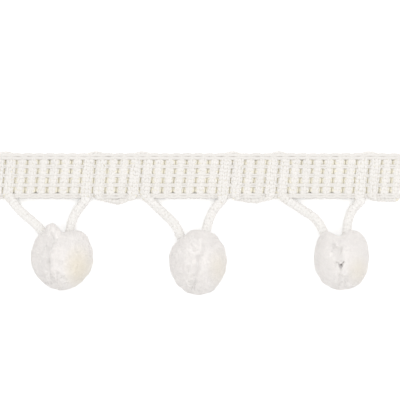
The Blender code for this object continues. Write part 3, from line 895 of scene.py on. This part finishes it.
def lobe_reach(number, directions):
    """How far out the outline's lobes are, and its notches in."""
    angle = np.degrees(np.arctan2(directions[..., 1], directions[..., 0]))
    flat = np.hypot(directions[..., 0], directions[..., 1])
    total = np.zeros(directions.shape[:-1])
    for lobe in of_pompom(number, LOBES):
        away = (angle - lobe.angle + 180) % 360 - 180
        bulge = np.exp(-(np.abs(away / lobe.width) ** LOBE_POWER))
        total += lobe.height * bulge * flat**LOBE_THINNESS
    return total


def parting_depth(number, points):
    """How deep the pile is parted at points on the upper side."""
    depth = np.zeros(points.shape[:-1])
    upper = np.clip(points[..., 2] / PARTED_ABOVE, 0, 1)
    for parting in of_pompom(number, PARTINGS):
        start = np.array((parting.x0, parting.y0))
        span = np.array((parting.x1, parting.y1)) - start
        flat = points[..., :2] - start
        share = np.clip(flat @ span / (span @ span), 0, 1)
        away = np.linalg.norm(flat - share[..., None] * span, axis=-1)
        depth = np.maximum(depth, parting.depth * np.exp(-((away / parting.width) ** 2)))
    return depth * upper


def unevenness(number, points):
    """How uneven the pile is at points on its surface."""
    total = np.full(points.shape[:-1], PILE_UNEVENNESS)
    for ruffle in of_pompom(number, RUFFLES):
        away = np.linalg.norm(points[..., :2] - (ruffle.x, ruffle.y), axis=-1)
        ruffled = ruffle.unevenness * np.exp(-((away / ruffle.radius) ** RUFFLE_POWER))
        total += ruffled * (points[..., 2] > 0)
    return total


def pile_reach(number, pompom, directions):
    """How far the pile's surface is from the pompom's middle."""
    reach = shell_reach(pompom, directions) + lobe_reach(number, directions)
    for swell in SWELLS:
        reach += swell.height * smooth_noise(directions, swell.waves, swell.seed + number)
    return reach - parting_depth(number, directions * reach[..., None])


def above_floor(directions, reach):
    """Reach, cut short where it would go into the floor."""
    down = -directions[..., 2]
    floor_reach = (POMPOM_Z - FLOOR_CLEARANCE) / np.maximum(down, TINY)
    return np.where(down > 0, np.minimum(reach, floor_reach), reach)


def yarn_ends(number, pompom):
    """The fibres of every yarn end, splayed into a small dome."""
    rng = np.random.default_rng(YARN_SEED + number)
    ends = even_directions(YARN_ENDS)
    ends = unit(ends + rng.normal(scale=END_JITTER, size=ends.shape))
    helper = np.where(np.abs(ends[:, 2:]) < NEARLY_UPRIGHT, UPWARD, SIDEWAYS)
    east = unit(np.cross(helper, ends))
    north = np.cross(ends, east)
    reach = pile_reach(number, pompom, ends)[:, None]
    count = (YARN_ENDS, FIBRES_PER_END)
    order = np.arange(FIBRES_PER_END)
    radius = np.sqrt((order + rng.uniform(*FIBRE_BAND, count)) / FIBRES_PER_END)
    angle = rng.uniform(0, math.tau, (YARN_ENDS, 1)) + order * FIBRE_TURN
    aside = (
        east[:, None] * (radius * np.cos(angle))[..., None]
        + north[:, None] * (radius * np.sin(angle))[..., None]
    )
    tip_way = unit(ends[:, None] * reach[..., None] + aside * END_SPREAD)
    root_way = unit(ends[:, None] * reach[..., None] + aside * END_SPREAD * ROOT_SPREAD)
    uneven = rng.normal(size=count) * FIBRE_UNEVENNESS + rng.normal(size=(YARN_ENDS, 1))
    uneven *= unevenness(number, ends * reach)[:, None]
    uneven = np.maximum(uneven, -MOST_SUNK)
    length = pile_reach(number, pompom, tip_way) - END_DOME * radius**2 + uneven
    length = above_floor(tip_way, length)
    tips = tip_way * length[..., None]
    roots = root_way * (PILE_ROOT * np.minimum(reach, length))[..., None]
    centres = np.stack((roots, tips), axis=2).reshape(-1, 2, 3)
    centres += (pompom.x, pompom.y, POMPOM_Z)
    turned = rng.normal(size=(len(centres), 1, 3))
    return strands(centres, turned, FIBRE_RADII, FIBRE_RADII, FIBRE_SIDES)


def pile_body(number, pompom):
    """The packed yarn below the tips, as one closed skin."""
    height = np.linspace(BODY_TIP, math.pi - BODY_TIP, BODY_RINGS)
    angle = np.arange(BODY_SIDES) * math.tau / BODY_SIDES
    flat, up = np.sin(height)[:, None], np.cos(height)[:, None] * np.ones(BODY_SIDES)
    directions = np.stack((flat * np.cos(angle), flat * np.sin(angle), up), axis=-1)
    reach = PILE_BODY * above_floor(directions, pile_reach(number, pompom, directions))
    points = directions * reach[..., None] + (pompom.x, pompom.y, POMPOM_Z)
    return skin(points[None])


def make_pompoms(finish):
    for number, pompom in enumerate(POMPOMS, 1):
        shapes = ([yarn_ends(number, pompom), pile_body(number, pompom)],)
        node = f"pompom_{number}"
        piece = make_piece(f"{node}_pile", shapes, [finish], node)
        places = np.concatenate([shape.points for shape in shapes[0]])
        # How deep the pile is parted, for the painted shade in the partings.
        parted = parting_depth(number, places - (pompom.x, pompom.y, POMPOM_Z))
        piece.data.attributes.new("parted", "FLOAT", "POINT").data.foreach_set("value", parted)


# -------- materials


class Finish:
    """A cloth material under construction, and short ways to add nodes to it."""

    def __init__(self, name):
        self.material = bpy.data.materials.new(name)
        self.material.use_nodes = True
        self.tree = self.material.node_tree
        self.shader = self.tree.nodes["Principled BSDF"]
        self.place = self.tree.nodes.new("ShaderNodeTexCoord").outputs["Object"]

    def add(self, kind, settings, inputs):
        """A node with its settings and its inputs, by name or by number."""
        made = self.tree.nodes.new(f"ShaderNode{kind}")
        for name, value in settings.items():
            setattr(made, name, value)
        for name, value in inputs.items():
            self.plug(made.inputs[name], value)
        return made.outputs

    def plug(self, socket, value):
        """Gives a socket a value, or the output of another node."""
        if isinstance(value, bpy.types.NodeSocket):
            self.tree.links.new(value, socket)
        else:
            socket.default_value = value

    def noise(self, scale, detail, place=None):
        inputs = {"Vector": place or self.place, "Scale": scale, "Detail": detail}
        return self.add("TexNoise", {}, inputs)["Fac"]

    def spread(self, value, low, high, to_low=0.0, to_high=1.0):
        """Stretches a value from low-high to to_low-to_high."""
        ends = {"From Min": low, "From Max": high, "To Min": to_low, "To Max": to_high}
        return self.add("MapRange", {}, {"Value": value, **ends})["Result"]

    def stretch(self, place, scale):
        return self.add("Mapping", {}, {"Vector": place, "Scale": scale})["Vector"]

    def away_from(self, cast, pompom):
        """How far a place is from the middle of a cast, in its radii."""
        middle = Vector((pompom.x + cast.x, pompom.y + cast.y, POMPOM_Z)) * MM
        radii = (cast.radius_x * MM, cast.radius_y * MM, 1.0)
        inputs = {"Vector": self.place, "Location": middle, "Scale": radii}
        across = self.add("Mapping", {"vector_type": "TEXTURE"}, inputs)["Vector"]
        return self.add("VectorMath", {"operation": "LENGTH"}, {"Vector": across})["Value"]

    def mix(self, factor, first, second):
        """Mixes two colours. A mix node's sockets for them have no names of their own."""
        return self.add("Mix", {"data_type": "RGBA"}, {0: factor, 6: first, 7: second})[2]

    def tones(self, factor, colour, tones):
        """Mixes two tones of a colour."""
        return self.mix(factor, *(solid(colour, tone) for tone in tones))

    def bump(self, value, strength, height, below=None):
        inputs = {"Height": value, "Strength": strength, "Distance": height * MM}
        if below:
            inputs["Normal"] = below
        return self.add("Bump", {}, inputs)["Normal"]

    def cloth(self, colour, noise, fibres, below=None):
        """Ends the material: its colour, and its fibres' relief over another, below."""
        values = {
            "Base Color": colour,
            "Normal": self.bump(noise, fibres.strength, fibres.height, below),
            "Roughness": self.spread(noise, *EVEN_BAND, fibres.smoothest, fibres.roughest),
            "Sheen Weight": fibres.sheen,
            "Sheen Roughness": SHEEN_ROUGHNESS,
            "Specular IOR Level": SPECULAR,
        }
        for name, value in values.items():
            self.plug(self.shader.inputs[name], value)
        return self.material


def solid(colour, factor=1.0):
    """A colour for a socket, paler or darker by a factor."""
    return (*(min(1.0, channel * factor) for channel in colour), 1.0)


def yarn_finish(name, colour, plies):
    """Soft cotton yarn: uneven whiteness, twisted plies and fine fibres."""
    finish = Finish(name)
    patches = finish.spread(finish.noise(*YARN_PATCHES), *CLEAR_BAND)
    flecks = finish.spread(finish.noise(*YARN_FLECKS), *CLEAR_BAND)
    base = finish.tones(patches, colour, YARN_TONES)
    base = finish.mix(flecks, finish.tones(patches, colour, FLECK_TONES), base)
    strand = finish.add("UVMap", {"uv_map": "strand"}, {})["UV"]
    turned = {"Vector": finish.stretch(strand, (plies, PLY_SLANT, 1.0)), **PLY_WAVE}
    bands = {"wave_type": "BANDS", "bands_direction": "DIAGONAL"}
    twist = finish.add("TexWave", bands, turned)["Fac"]
    fibres = finish.noise(YARN_FIBRES.scale, YARN_FIBRES.detail)
    return finish.cloth(base, fibres, YARN_FIBRES, finish.bump(twist, PLY_STRENGTH, PLY_HEIGHT))


def inner_shade_finish(name, colour):
    """The yarn inside a cord, creamier and darker with painted shade, so that the slits between
    columns look shaded.
    """
    finish = Finish(name)
    fibres = finish.noise(INNER_FIBRES.scale, INNER_FIBRES.detail)
    base = finish.tones(finish.spread(fibres, *CLEAR_BAND), colour, INNER_TONES)
    return finish.cloth(base, fibres, INNER_FIBRES)


def pile_finish(name, colour):
    """Cut pile: uneven yarn ends, faint streaks, sides made paler with painted light, partings
    darkened with painted shade, and a creamy cast on the right of each pompom."""
    finish = Finish(name)
    ends = finish.spread(finish.noise(*PILE_ENDS), *PILE_BAND)
    base = finish.tones(ends, colour, PILE_TONES)
    longer = finish.stretch(finish.place, (1.0, 1.0 / STREAK_LENGTH, 1.0))
    streaks = finish.spread(finish.noise(*PILE_STREAKS, longer), *STREAK_BAND)
    base = finish.mix(streaks, finish.mix(0.5, base, solid(colour, STREAK_TONE)), base)
    height = finish.add("SeparateXYZ", {}, {"Vector": finish.place})["Z"]
    # Painted light: the pile is made paler up to a little above its middle, lifting the shade round
    # its sides.
    side = finish.spread(height, *(z * MM for z in PAINTED_SIDE_LIGHT_HEIGHTS), 1.0, 0.0)
    base = finish.mix(side, base, solid(PAINTED_SIDE_LIGHT))
    # Painted shade: the pile's colour is darkened where it is parted deep.
    parted = finish.add("Attribute", {"attribute_name": "parted"}, {})["Fac"]
    shaded = finish.spread(parted, *SHADED_PARTING)
    base = finish.mix(shaded, base, solid(colour, PARTED_SHADE))
    for cast in CASTS:
        away = finish.away_from(cast, POMPOMS[cast.pompom - 1])
        share = finish.spread(away, *CAST_EDGE, cast.strength, 0.0)
        base = finish.mix(share, base, solid(CREAM))
    fibres = finish.noise(PILE_FIBRES.scale, PILE_FIBRES.detail)
    return finish.cloth(base, fibres, PILE_FIBRES)


def paper_finish():
    """The pale paper the trim lies on: evenly lit and all but blank."""
    finish = Finish("pale_paper")
    grain = finish.noise(PAPER_FIBRES.scale, PAPER_FIBRES.detail)
    colour = finish.mix(finish.spread(grain, *EVEN_BAND), *(solid(tone) for tone in PAPER))
    finish.shader.inputs["Emission Color"].default_value = WHITE
    finish.shader.inputs["Emission Strength"].default_value = FLOOR_GLOW
    return finish.cloth(colour, grain, PAPER_FIBRES)


# -------- surroundings


def make_floor():
    half = PAPER_SIZE / 2
    corners = [(-half, -half, 0), (half, -half, 0), (half, half, 0), (-half, half, 0)]
    mesh = bpy.data.meshes.new("paper")
    mesh.from_pydata(corners, [], [(0, 1, 2, 3)])
    mesh.materials.append(paper_finish())
    floor = add_object("paper", mesh)


def make_light():
    world = bpy.data.worlds.new("soft_room")
    world.use_nodes = True
    background = world.node_tree.nodes["Background"]
    background.inputs["Color"].default_value = WHITE
    background.inputs["Strength"].default_value = WORLD_STRENGTH
    bpy.context.scene.world = world
    lamp = bpy.data.lights.new("soft_box", "AREA")
    lamp.shape = "DISK"
    lamp.size = LAMP_SIZE * MM
    lamp.energy = LAMP_POWER
    holder = add_object("soft_box", lamp)
    holder.location = Vector(LAMP_PLACE) * MM
    holder.rotation_euler = holder.location.to_track_quat("Z", "Y").to_euler()


def make_camera():
    """Looks straight down, as far off as the picture's width asks."""
    data = bpy.data.cameras.new("camera")
    data.lens, data.sensor_width = LENS, SENSOR
    data.clip_start, data.clip_end = CLIPPING
    distance = PICTURE_WIDTH * LENS / SENSOR
    camera = add_object("camera", data)
    camera.location = Vector((CAMERA_X, CAMERA_Y, FACE_Z + distance)) * MM
    bpy.context.scene.camera = camera


def make_trim():
    columns = column_layout()
    runs = column_runs(columns)
    # The inside of each cord carries painted shade, so that the slits between columns look shaded.
    inner = inner_shade_finish("inner_yarn_painted_shade", INNER_YARN_AND_SHADE)
    ground, pompom_cord, leg = (
        [yarn_finish(f"{kind}_yarn", COLOURS[kind], CORD_PLIES), inner]
        for kind in ("ground_cord", "pompom_cord", "leg")
    )
    make_ground_cords(runs, ground)
    make_pompom_cords(runs, pompom_cord, leg)
    make_chain_rows(columns, [yarn_finish("chain_yarn", COLOURS["chain_row"], CHAIN_PLIES)])
    make_pompoms(pile_finish("pompom_pile", COLOURS["pompom"]))


make_camera()
make_trim()
make_floor()
make_light()
bpy.context.scene.view_settings.view_transform = "Standard"
